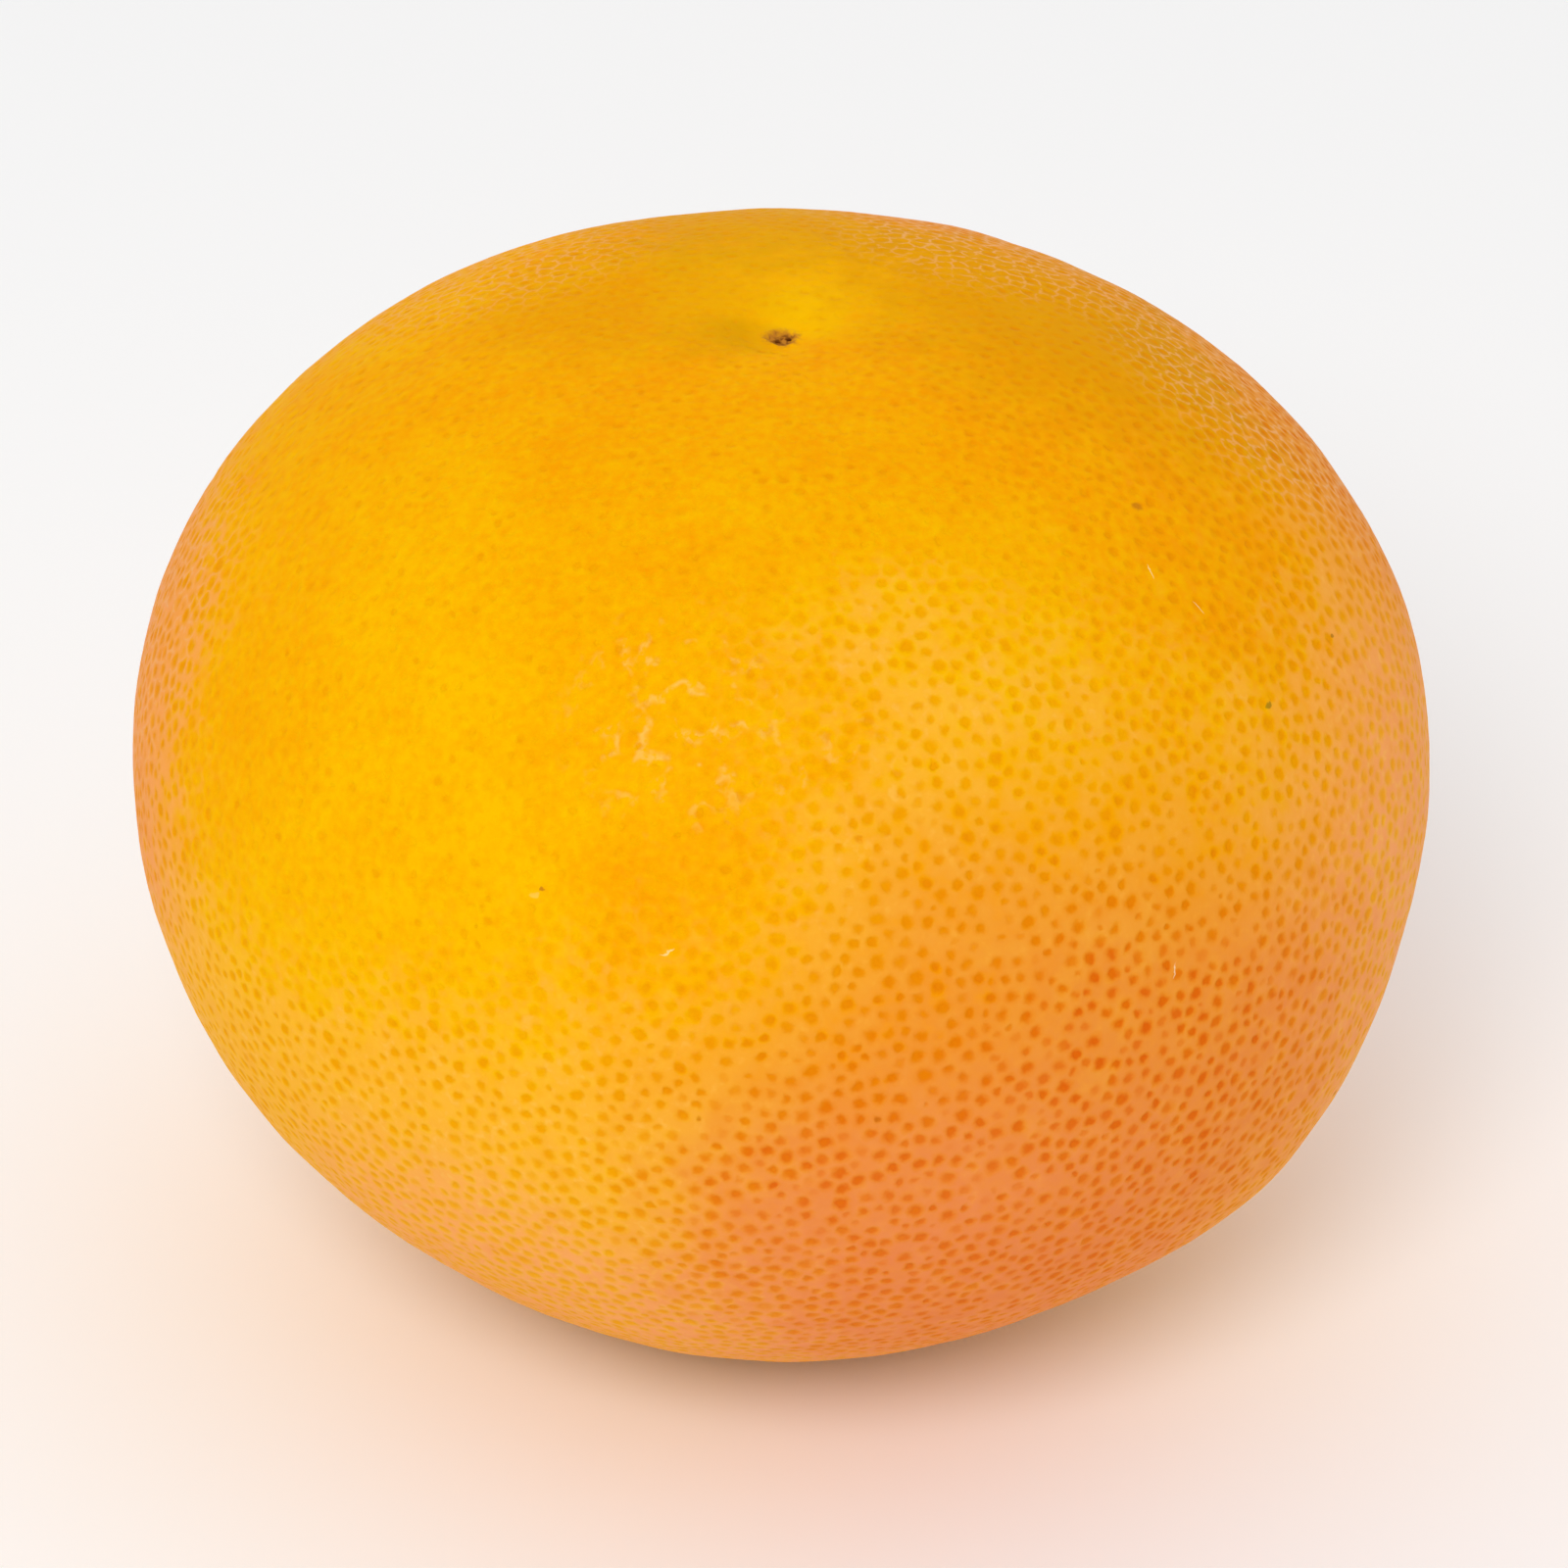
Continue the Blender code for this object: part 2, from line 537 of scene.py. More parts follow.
@dataclass(frozen=True)
class Scar:
    """The corky scar that the style left on the blossom end.

    Attributes:
        radius: Its usual radius.
        ragged: How far its edge wanders.
        dimple: How deep the rind is drawn in round it.
        dimple_spread: How wide that dimple is.
        sink: How deep its floor lies below the rind.
        rim: How high its edge stands.
        rim_width: How wide that edge is.
        grit_height: Height of the grit on its floor.
        grit_size: Size of that grit.
        pores: The dark pores: x and y from its middle, radius and depth.
    """

    radius: float = 0.00135
    ragged: float = 0.00035
    dimple: float = 0.00032
    dimple_spread: float = 0.0026
    sink: float = 0.00018
    rim: float = 0.00012
    rim_width: float = 0.00025
    grit_height: float = 0.00008
    grit_size: float = 0.0003
    pores: tuple[tuple[float, float, float, float], ...] = (
        (-0.00030, -0.00010, 0.00026, 0.00040),
        (0.00058, 0.00012, 0.00024, 0.00034),
    )

    def lift(self, place: Vector) -> float:
        """Return how far the scar and its dimple lift the rind at a place on the blossom end."""
        reach = math.hypot(place.x, place.y)
        lifted = -self.dimple * math.exp(-0.5 * (reach / self.dimple_spread) ** 2)
        if reach > 2.5 * self.radius:
            return lifted
        edge = self.radius + self.ragged * noise.noise(place / self.radius * 1.3)
        lifted += self.rim * math.exp(-((reach - edge) / self.rim_width) ** 2)
        lifted -= self.sink * ease(reach, edge, 0.6 * edge)
        grit = self.grit_height * noise.noise(place / self.grit_size)
        lifted += grit * ease(reach, edge, 0.7 * edge)
        for x, y, radius, depth in self.pores:
            lifted -= depth * ease(math.hypot(place.x - x, place.y - y), radius, 0.2 * radius)
        return lifted


@dataclass
class RindSurface:
    """The rind as a fine mesh, with a corner on each oil gland.

    Attributes:
        form: The fruit's form.
        glands: The oil glands.
        scar: The style's scar.
        pit_depth: How deep a large gland is pressed in.
        pit_reach: How wide its pit is, in the gland's radii.
        swell_height: Height of the soft unevenness of the rind.
        swell_size: Size of that unevenness.
        pebble_height: Height of the fine unevenness between glands.
        pebble_size: Size of that unevenness.
        scar_field: Radius and spacing of the fine corners round the scar.
        stem_field: Radius and spacing of the fine corners round the calyx.
        field_gap: How far the other glands stay off both fields, in spacings.
        field_rise: How near the ends the fields' corners lie, as a share of the way.
        rest_fade: The soft unevenness grows up to this height over the floor.
    """

    form: FruitForm
    glands: GlandLayout
    scar: Scar
    pit_depth: float = 0.000055
    pit_reach: float = 1.45
    swell_height: float = 0.00016
    swell_size: float = 0.010
    pebble_height: float = 0.000022
    pebble_size: float = 0.0014
    scar_field: tuple[float, float] = (0.0030, 0.00030)
    stem_field: tuple[float, float] = (0.0105, 0.00055)
    field_gap: float = 0.4
    field_rise: float = 0.95
    rest_fade: float = 0.004

    def build(self) -> bpy.types.Object:
        """Return the rind, with its glands written on its faces."""
        corners = self._corners()
        corners, faces = self._split(corners, self._triangles(corners))
        places = self._relief(corners)
        mesh = bpy.data.meshes.new("rind")
        mesh.from_pydata(places.tolist(), [], faces.tolist())
        mesh.shade_smooth()
        self._write_glands(mesh, places[faces].mean(axis=1))
        return add("rind", mesh)

    @staticmethod
    def _disc(radius: float, spacing: float) -> np.ndarray:
        """Return an even spiral of points that fills a disc, without its middle."""
        count = round(math.pi * radius ** 2 / (ROW_HEIGHT * spacing ** 2))
        step = np.arange(1, count)
        reach = radius * np.sqrt(step / count)
        turn = step * GOLDEN_TURN
        return np.stack([reach * np.cos(turn), reach * np.sin(turn)], axis=1)

    def _corners(self) -> np.ndarray:
        """Return the directions of the main corners: the glands, and fine fields at both ends."""
        glands = self.glands.places
        above = glands[:, 2] > self.form.middle.z
        field_radius = np.where(above, self.scar_field[0], self.stem_field[0])
        clear = field_radius + self.glands.spacing * self.field_gap
        rows = [glands[np.hypot(glands[:, 0], glands[:, 1]) > clear]]
        for (radius, spacing), side in ((self.scar_field, 1.0), (self.stem_field, -1.0)):
            disc = self._disc(radius, spacing)
            rise = side * (self.form.high.z - self.form.middle.z) * self.field_rise
            level = np.full((len(disc), 1), self.form.middle.z + rise)
            rows.append(np.hstack([disc, level]))
        directions = np.vstack(rows) - np.array(self.form.middle)
        return directions / np.linalg.norm(directions, axis=1, keepdims=True)

    @staticmethod
    def _triangles(corners: np.ndarray) -> np.ndarray:
        """Join directions in triangles: even ones on the plane that the stem end projects them to.

        Args:
            corners: Unit directions, none of them straight down.

        Returns:
            Rows of three corners. The last corner's number is one past the directions, for the
            corner at the stem end, which closes the surface.
        """
        plane = corners[:, :2] / (1.0 + corners[:, 2:3])
        joined = delaunay_2d_cdt([Vector(row) for row in plane], [], [], 0, 1e-9)
        origin = [source[0] for source in joined[3]]
        faces = [[origin[corner] for corner in face] for face in joined[2]]
        sides = {(face[n], face[(n + 1) % 3]) for face in faces for n in range(3)}
        rim = [(a, b) for a, b in sides if (b, a) not in sides]
        faces.extend([b, a, len(corners)] for a, b in sorted(rim))
        return np.array(faces)

    @staticmethod
    def _split(corners: np.ndarray, faces: np.ndarray) -> tuple[np.ndarray, np.ndarray]:
        """Split each triangle in four.

        Args:
            corners: Unit directions, without the one at the stem end.
            faces: Rows of three corners.

        Returns:
            All directions and all faces.
        """
        corners = np.vstack([corners, [0.0, 0.0, -1.0]])
        sides = np.sort(np.concatenate([faces[:, [0, 1]], faces[:, [1, 2]], faces[:, [2, 0]]]), axis=1)
        single, number = np.unique(sides, axis=0, return_inverse=True)
        halves = corners[single].sum(axis=1)
        halves /= np.linalg.norm(halves, axis=1, keepdims=True)
        ab, bc, ca = number.reshape(3, -1) + len(corners)
        a, b, c = faces.T
        split = np.concatenate(
            [np.stack(corner, axis=1) for corner in ((a, ab, ca), (ab, b, bc), (ca, bc, c), (ab, bc, ca))]
        )
        return np.vstack([corners, halves]), split

    def _relief(self, directions: np.ndarray) -> np.ndarray:
        """Return the places of the corners, with pits, unevenness and the scar."""
        places, normals = self.form.along(directions)
        lifts = [self._lift(Vector(place)) for place in places]
        places += normals * np.array(lifts)[:, None]
        places[:, 2] = np.maximum(places[:, 2], 0.0)
        return places

    def _lift(self, place: Vector) -> float:
        """Return how far the rind is lifted at a place."""
        _, number, distance = self.glands.tree.find(place)
        radius, tone, _ = self.glands.looks[number]
        pit = self.pit_depth * min(tone, 1.0) * ease(distance, self.pit_reach * radius, 0.0)
        level = ease(place.z, 0.0, self.rest_fade)
        swell = self.swell_height * noise.fractal(place / self.swell_size, 1.0, 2.0, 2) * level
        pebble = self.pebble_height * noise.noise(place / self.pebble_size)
        scar = self.scar.lift(place) if place.z > self.form.middle.z else 0.0
        return swell + pebble + scar - pit

    def _write_glands(self, mesh: bpy.types.Mesh, centres: np.ndarray) -> None:
        """Write the three nearest glands on each face.

        Args:
            mesh: The rind's mesh.
            centres: The middle of each face.
        """
        near = np.array([[found[1] for found in self.glands.tree.find_n(centre, 3)] for centre in centres])
        for letter, column in zip("abc", near.T):
            self._write(mesh, f"gland_{letter}", self.glands.places[column])
        for name, column in zip(("gland_radii", "gland_tones", "gland_corks"), range(3)):
            self._write(mesh, name, self.glands.looks[near, column])

    @staticmethod
    def _write(mesh: bpy.types.Mesh, name: str, rows: np.ndarray) -> None:
        """Write a vector on each face of a mesh."""
        layer = mesh.attributes.new(name, "FLOAT_VECTOR", "FACE")
        layer.data.foreach_set("vector", rows.astype(np.float32).ravel())


@dataclass(frozen=True)
class GlandMasks:
    """What a material knows about the glands nearest to each place.

    Attributes:
        dots: How strongly a gland colours the place.
        halos: How strongly the soft halo round a gland colours it.
        pits: How deep the place lies in a gland's pit.
        corks: How far the place has turned to cork.
        gap: How far the place lies outside the nearest gland's rim.
        borders: The thin borders where two glands are equally near.
    """

    dots: Value
    halos: Value
    pits: Value
    corks: Value
    gap: Value
    borders: Value


@dataclass(frozen=True)
class Mark:
    """A small chance mark on the rind: a speck, or a fine nick.

    Attributes:
        azimuth: Its middle's azimuth in degrees.
        latitude: Its middle's latitude in degrees.
        colour: Its colour.
        length: Half its length.
        width: Half its width.
        lean: How far its length leans from level, in degrees.
        strength: How much it covers.
    """

    azimuth: float
    latitude: float
    colour: str
    length: float
    width: float
    lean: float = 0.0
    strength: float = 0.8

    def mask(self, tree: ShaderTree, place: Value, form: FruitForm) -> Value:
        """Return where the mark covers the rind.

        Args:
            tree: The tree that the mask goes in.
            place: The place on the surface.
            form: The fruit's form.

        Returns:
            The mask.
        """
        middle, normal = form.at(towards(self.azimuth, self.latitude))
        level = UP.cross(normal).normalized()
        lean = math.radians(self.lean)
        along = level * math.cos(lean) + normal.cross(level) * math.sin(lean)
        across = normal.cross(along)
        offset = tree.vector("SUBTRACT", place, tuple(middle))
        reach: Value | float = 0.0
        for way in (along / self.length, across / self.width, normal / self.length):
            share = tree.vector("DOT_PRODUCT", offset, tuple(way))
            reach = share * share + reach
        return reach.ease(1.3, 0.4) * self.strength


class Blotch:
    """Sizes of the uneven blotches in the rind's finish."""

    DRIFT = 0.016
    BROAD = 0.0050
    SQUIGGLE = 0.0034
    BROKEN = 0.0024
    WOBBLE = 0.0009
    FINE = 0.0008
    GRAIN = 0.0005


class Edge:
    """Where a gland's dot, halo and pit start and where they are full, in its radii."""

    DOT = (1.40, 0.45)
    HALO = (2.1, 0.9)
    PIT = (1.5, 0.2)


class Strength:
    """How strongly each finish is laid on the rind, as a share."""

    ROSE = 0.68
    AMBER = 0.35
    FLECKS = 0.40
    GOLD = 0.6
    HALOS = 0.55
    # Painted highlight strokes on the raised net.
    PAINTED_HIGHLIGHT = 0.6
    # Painted reflection on the borders between glands at the rims.
    RIM_REFLECTION = 0.8
    RARE = 0.55
    FADING = 0.36


class Gloss:
    """How rough the rind is, and how deep its pits and its grain are shaded."""

    ROUGHNESS = 0.34
    PIT_ROUGHNESS = 0.10
    GRAIN_ROUGHNESS = 0.08
    GRAIN_HEIGHT = 0.14
    SHADING = 0.7
    DEPTH = 0.00011


@dataclass(frozen=True)
class RindFinish:
    """The waxy rind: golden on one side, with a pale net and orange glands on the other.

    Attributes:
        lemon: Golden rind at its palest.
        amber: Golden rind at its deepest.
        lemon_gland: Glands in the palest golden rind.
        amber_gland: Glands in the deepest golden rind.
        apricot: The net between the glands where it is palest.
        peach: The net where it blushes.
        rose: The net in the heart of the blush.
        orange_gland: Glands in the palest net.
        coral_gland: Glands in the heart of the blush.
        cork: Glands that have turned to cork.
        scar: The style's scar.
        pore: The dark pores in the scar.
        stem_tint: The rind in the hollow of the stem end.
        fleck_and_highlight: The pale flecks on the net, and the painted highlight strokes where the key
            light glints on the raised net.
        rim_reflection: The pale tan painted reflection of bright surroundings on the borders between
            glands at the rims.
        painted_shade_olive: Painted shade, a darker and greener gold, in the hollow beside the scar and
            along the upper rims.
        golden: Where the rind is golden and its net hardly shows.
        dotted: Where the glands of the golden rind show.
        blushing: Where the net blushes.
        reddened: Where the glands and the net are redder.
        deepened: Where the golden rind is deep, and, just below the scar, a painted shade on the near
            slope of its dimple.
        paler_and_lit: Where the gold is paler behind the scar: partly the rind's own paler colour, partly
            painted light on the far wall of the scar's dimple.
        shaded: Where the painted shade lies: beside the scar and along the upper rims.
        highlight_patches: Where the painted highlight strokes lie, on the raised net that faces the key
            light.
        rim_reflection_patches: Where that painted reflection lies, along the rims.
        bare_start: Where the net starts, from a gland's rim, if no gold covers it.
        net_retreat: How much further away it starts where gold covers it fully.
        wobble: How far the outlines of glands and marks are moved at random.
        marks: The specks and nicks.
    """

    lemon: str = "F7BB02"
    amber: str = "F59C02"
    lemon_gland: str = "EFA001"
    amber_gland: str = "E68801"
    apricot: str = "F9B632"
    peach: str = "FBA56E"
    rose: str = "E47838"
    orange_gland: str = "F3A504"
    coral_gland: str = "E0620A"
    fleck_and_highlight: str = "FBC864"
    rim_reflection: str = "F0B27C"
    painted_shade_olive: str = "D69602"
    cork: str = "A8681C"
    scar: str = "BE7A26"
    pore: str = "5A2A08"
    stem_tint: str = "D9A62A"
    golden: Patches = (
        Patch(-132, 40, 10, 49),
        Patch(-106, 20, 4, 24, 0.4),
        Patch(-90, 86, 25, 41),
        Patch(-20, 55, 6, 34, 0.85),
        Patch(-45, 34, 6, 28, 0.6),
        Patch(-76, 50, 4, 20, 0.4),
        Patch(-82, 23, 5, 25, 0.42),
        Patch(-142, 15, 6, 23, 0.4),
        Patch(173, 49, 8, 30, 0.9),
        Patch(34, 53, 6, 24, 0.6),
        Patch(122, 62, 6, 34, 0.9),
        Patch(118, 24, 4, 50, 0.85),
    )
    dotted: Patches = (Patch(-12, 42, 12, 38, 0.5),)
    blushing: Patches = (
        Patch(-72, -30, 8, 42),
        Patch(-122, -28, 6, 27, 0.7),
        Patch(-12, 0, 10, 44, 0.85),
        Patch(-178, 16, 10, 36, 0.8),
        Patch(70, -5, 30, 85, 0.6),
    )
    reddened: Patches = (
        Patch(-66, -6, 6, 47),
        Patch(-18, 12, 10, 46, 0.15),
        Patch(-178, 16, 8, 32, 0.5),
        Patch(38, 42, 22, 48, 0.8),
        Patch(60, -4, 12, 52, 0.6),
    )
    deepened: Patches = (
        Patch(0, 90, 10, 45, 0.6),
        Patch(0, 45, 10, 42, 0.8),
        Patch(-38, 24, 6, 26, 0.4),
        Patch(-122, 52, 4, 17, 0.3),
        Patch(-97, 38, 6, 22, 0.35),
        Patch(-97, 16, 3, 17, 0.4),
        Patch(150, 60, 8, 40, 0.4),
        Patch(-168, 26, 8, 34, 0.45),
        Patch(118, 24, 4, 50, 0.5),
        # Painted shade: the darker band below the scar, on the near slope of its dimple.
        Patch(-20, 82, 0, 8, 0.25),
    )
    # Partly the rind's own paler gold, partly painted light where the far wall of the scar's dimple faces
    # the light.
    paler_and_lit: Patches = (
        Patch(60, 84.6, 0, 7, 0.9),
        Patch(90, 80, 0, 18, 0.45),
    )
    # Painted shade: beside the scar it stands for the shaded near wall of the dimple; on the upper rims it
    # darkens them where less light falls.
    shaded: Patches = (
        Patch(-172, 86.5, 0, 5, 0.40),
        Patch(-168, 82.5, 0, 6.5, 0.30),
        Patch(22, 56, 8, 32, 0.50),
        Patch(150, 72, 3, 20, 0.30),
        Patch(92, 58, 7, 24, 0.45),
        Patch(14, 41, 5, 18, 0.35),
    )
    # Painted highlight: broken strokes where the key light glints on the raised net between glands.
    highlight_patches: Patches = (
        Patch(-101, 38, 3, 12),
        Patch(-85, 32, 2, 9, 0.6),
    )
    # Painted reflection: the rims that face bright surroundings at a grazing angle.
    rim_reflection_patches: Patches = (
        Patch(52, 50, 4, 24, 0.9),
        Patch(12, 38, 4, 21, 0.9),
        Patch(138, 50, 2, 21, 0.6),
        Patch(-178, 18, 5, 20, 0.6),
    )
    bare_start: float = -0.00050
    net_retreat: float = 0.00100
    wobble: float = 0.00075
    marks: tuple[Mark, ...] = (
        Mark(-112, 21.5, "B86818", 0.00024, 0.00018, 0, 0.7),
        Mark(-112.6, 21, "FDCF60", 0.00046, 0.00024, 20, 0.45),
        Mark(-34.5, 27.6, "8A7218", 0.00042, 0.00030, 10, 0.7),
        Mark(-20, 27.6, "A0701C", 0.00026, 0.00020, 0, 0.7),
        Mark(-38, 43, "FFE3A0", 0.00070, 0.00007, 60, 0.7),
        Mark(-35.5, 38, "FFE3A0", 0.00060, 0.00006, 100, 0.7),
        Mark(-54, 10.6, "FFDDB0", 0.00065, 0.00007, 65, 0.7),
        Mark(-100, 18, "FFE3A0", 0.00065, 0.00007, 35, 0.6),
    )

    def material(self, form: FruitForm, scar: Scar) -> bpy.types.Material:
        """Make the rind's material.

        Args:
            form: The fruit's form.
            scar: The style's scar.

        Returns:
            The material.
        """
        tree = ShaderTree("rind_finish")
        place = tree.place()
        nudge = tree.noise(place, Blotch.WOBBLE, 3.0, "Color")
        nudge = tree.vector("SUBTRACT", nudge, (0.5, 0.5, 0.5))
        nudge = tree.vector("MULTIPLY", nudge, (self.wobble, self.wobble, self.wobble))
        warped = tree.vector("ADD", place, nudge)
        glands = self._glands(tree, warped)
        colour = self._colour(tree, place, form, glands)
        colour = tree.mix(glands.corks, colour, self.cork)
        colour = self._ends(tree, colour, warped, form, scar)
        for mark in self.marks:
            colour = tree.mix(mark.mask(tree, warped, form), colour, mark.colour)
        grain = tree.noise(place, Blotch.GRAIN, 2.0)
        height = grain * Gloss.GRAIN_HEIGHT - glands.pits
        roughness = Gloss.ROUGHNESS + glands.pits * Gloss.PIT_ROUGHNESS + grain * Gloss.GRAIN_ROUGHNESS
        return tree.finish(
            Base_Color=colour,
            Roughness=roughness,
            Normal=tree.bump(height, Gloss.SHADING, Gloss.DEPTH),
            IOR=1.45,
            Specular_IOR_Level=0.004,
            Subsurface_Weight=0.06,
            Subsurface_Radius=(0.9, 0.35, 0.10),
            Subsurface_Scale=0.0012,
        )

    @staticmethod
    def _glands(tree: ShaderTree, place: Value) -> GlandMasks:
        """Return the masks of the three glands that are nearest to each place."""
        looks = [tree.parts(tree.attribute(f"gland_{look}")) for look in ("radii", "tones", "corks")]
        centres = [tree.attribute(f"gland_{letter}") for letter in "abc"]
        distances = [tree.vector("DISTANCE", place, centre) for centre in centres]
        dots = halos = pits = cork = 0.0
        gap: Value | float = 1.0
        for distance, radius, tone, corked in zip(distances, *looks):
            dot, halo, pit = (
                distance.ease(radius * start, radius * full) * tone
                for start, full in (Edge.DOT, Edge.HALO, Edge.PIT)
            )
            dots = dot.most(dots)
            halos = halo.most(halos)
            pits = pit.most(pits)
            cork = (dot * corked).most(cork)
            gap = (distance - radius * tone).least(gap)
        first, second, third = distances
        uneven = (first - second).size().least((first - third).size())
        borders = uneven.ease(0.00042, 0.0) * gap.ease(0.0, 0.00012)
        return GlandMasks(dots.least(1.0), halos.least(1.0), pits.least(1.0), cork, gap, borders)

    def _colour(self, tree: ShaderTree, place: Value, form: FruitForm, glands: GlandMasks) -> Value:
        """Return the colour of the rind with its glands, without its ends and marks."""
        patches = PatchMap(tree, place, form.middle)
        drift = (tree.noise(place, Blotch.DRIFT, 3.0) - 0.5) * 0.5
        broad, broken, fine = (
            tree.noise(place, size, 3.0) - 0.5 for size in (Blotch.BROAD, Blotch.BROKEN, Blotch.FINE)
        )
        golden = patches.mask(self.golden, drift)
        blushing = patches.mask(self.blushing, drift, 0.05)
        reddened = (patches.mask(self.reddened, drift) + broken * 0.8).most(0.0).least(1.0)
        deepened = patches.mask(self.deepened, drift, 0.20) + broad * 0.8 + fine * 1.25
        # Behind the scar the gold is paler: partly its own colour, partly painted light on the dimple's
        # far wall.
        deepened = (deepened * (1.0 - patches.mask(self.paler_and_lit, broken))).most(0.0).least(1.0)
        gold = tree.mix(deepened.most(reddened), self.lemon, self.amber)
        # Painted shade laid over the gold beside the scar and along the upper rims.
        gold = tree.mix(patches.mask(self.shaded, broken), gold, self.painted_shade_olive)
        cover = (golden + broken * (golden * (1.0 - golden)) * 5.0).most(0.0).least(1.0)
        start = cover * self.net_retreat + self.bare_start
        net_mask = glands.gap.ease(start - 0.00020, start + 0.00025) * cover.ease(1.0, 0.4)
        net = tree.mix(blushing, self.apricot, self.peach)
        net = tree.mix(reddened * Strength.ROSE, net, self.rose)
        net = tree.mix(deepened * Strength.AMBER, net, self.amber)
        net = tree.mix(fine.ease(0.0, 0.25) * (1.0 - reddened) * Strength.FLECKS, net, self.fleck_and_highlight)
        net = tree.mix(cover * Strength.GOLD, net, gold)
        gold_gland = tree.mix(deepened, self.lemon_gland, self.amber_gland)
        net_gland = tree.mix(reddened, self.orange_gland, self.coral_gland)
        ground = tree.mix(net_mask, gold, net)
        halo = glands.halos * (1.0 - golden) * Strength.HALOS
        ground = tree.mix(halo, ground, tree.mix(reddened * 0.5, gold, self.coral_gland))
        # Painted highlight: pale broken strokes on the raised net where the key light glints.
        squiggles = (tree.noise(place, Blotch.SQUIGGLE, 2.0) - 0.5).size().ease(0.070, 0.0)
        threads = squiggles * patches.mask(self.highlight_patches) * fine.ease(-0.10, 0.06) * broken.ease(-0.02, 0.08)
        ground = tree.mix(threads * Strength.PAINTED_HIGHLIGHT, ground, self.fleck_and_highlight)
        # Painted reflection of bright surroundings on the borders between glands at the rims.
        rough = glands.borders * patches.mask(self.rim_reflection_patches)
        rough = rough * fine.ease(-0.10, 0.04) * broken.ease(-0.24, -0.04)
        ground = tree.mix(rough * Strength.RIM_REFLECTION, ground, self.rim_reflection)
        rare = glands.dots * glands.dots * glands.dots * broken.ease(-0.06, 0.14) * Strength.RARE
        quiet = golden.ease(0.3, 0.95) * (1.0 - patches.mask(self.dotted, drift))
        vivid = (glands.dots + (rare - glands.dots) * quiet) * (1.0 - blushing * Strength.FADING)
        return tree.mix(vivid, ground, tree.mix(golden, net_gland, gold_gland))

    def _ends(self, tree: ShaderTree, colour: Value, place: Value, form: FruitForm, scar: Scar) -> Value:
        """Return the colour with the scar and the stem hollow on it."""
        stem = form.at(-UP)[0]
        hollow = tree.vector("DISTANCE", place, tuple(stem)).ease(0.011, 0.004)
        colour = tree.mix(hollow * 0.7, colour, self.stem_tint)
        above = tree.parts(place)[2].ease(form.middle.z, form.high.z * 0.9)
        level = tree.vector("MULTIPLY", place, (1.0, 1.0, 0.0))
        fray = (tree.noise(place, 0.0006, 4.0) - 0.5) * 0.0016
        reach = tree.vector("DISTANCE", level, (0.0, 0.0, 0.0)) + fray
        corky = reach.ease(scar.radius * 1.3, scar.radius * 0.6)
        colour = tree.mix(corky * above, colour, self.scar)
        grit = tree.noise(place, 0.0004, 3.0).ease(0.42, 0.62)
        grit = grit * reach.ease(scar.radius * 0.9, scar.radius * 0.5)
        colour = tree.mix(grit * above * 0.7, colour, self.pore)
        for x, y, radius, _ in scar.pores:
            pore = tree.vector("DISTANCE", level, (x, y, 0.0)).ease(radius * 1.4, radius * 0.5)
            colour = tree.mix(pore * above, colour, self.pore)
        return colour


@dataclass
class Calyx:
    """The dry calyx that stays on the stem end: a star of sepals round the stub of the stem.

    Attributes:
        form: The fruit's form.
        sepals: How many sepals it has.
        inner: Its radius between the sepals.
        outer: Its radius at a sepal's tip.
        thickness: How far it stands off the rind.
        root: How far its hidden side reaches into the rind.
        stub_radius: Radius of the stem's stub.
        stub_height: How far the stub stands out.
        segments: Corners round it.
        rings: Rings from its underside to the stub.
        seed: The seed of its raggedness.
    """

    form: FruitForm
    sepals: int = 5
    inner: float = 0.0036
    outer: float = 0.0050
    thickness: float = 0.00040
    root: float = 0.0009
    stub_radius: float = 0.0016
    stub_height: float = 0.0004
    segments: int = 90
    rings: int = 36
    seed: int = 7

    def build(self) -> bpy.types.Object:
        """Return the calyx as one closed mesh."""
        draw = random.Random(self.seed)
        reaches = [draw.uniform(0.85, 1.15) for _ in range(self.sepals)]
        shape = bmesh.new()
        bmesh.ops.create_uvsphere(shape, u_segments=self.segments, v_segments=self.rings, radius=1.0)
        for vertex in shape.verts:
            vertex.co = self._placed(vertex.co, reaches)
        bmesh.ops.recalc_face_normals(shape, faces=shape.faces)
        return add_shape("calyx", shape)

    def _placed(self, corner: Vector, reaches: Sequence[float]) -> Vector:
        """Return where a corner of the unit sphere goes: its lower half is the calyx's outer side."""
        turn = math.atan2(corner.y, corner.x)
        inwards = min(math.hypot(corner.x, corner.y), 1.0)
        share = math.asin(inwards) / (math.pi / 2.0)
        place = (turn / (2.0 * math.pi) * self.sepals) % self.sepals
        number = round(place) % self.sepals
        point = abs(place - round(place)) * 2.0
        tip = self.inner + (self.outer - self.inner) * reaches[number] * (1.0 - point) ** 1.6
        reach = share * tip
        spot = Vector((reach * math.cos(turn), reach * math.sin(turn), 0.0))
        relief = self.form.below(spot.x, spot.y)
        if corner.z > 0.0:
            return Vector((spot.x, spot.y, relief + self.root * (1.0 - share ** 4)))
        ridge = 0.00012 * math.cos(turn * self.sepals) * ease(share, 0.3, 0.8)
        grain = 0.00010 * noise.noise(Vector((turn * 5.0, reach / 0.0012, 3.0)))
        edge = 1.0 - ease(share, 0.80, 1.0) * 0.9
        stub = self.stub_height * ease(reach, self.stub_radius * 1.15, self.stub_radius * 0.85)
        rough = 0.00012 * noise.noise(spot / 0.0004) * ease(reach, self.stub_radius, 0.0)
        return Vector((spot.x, spot.y, relief - (self.thickness + ridge + grain) * edge - stub - rough))


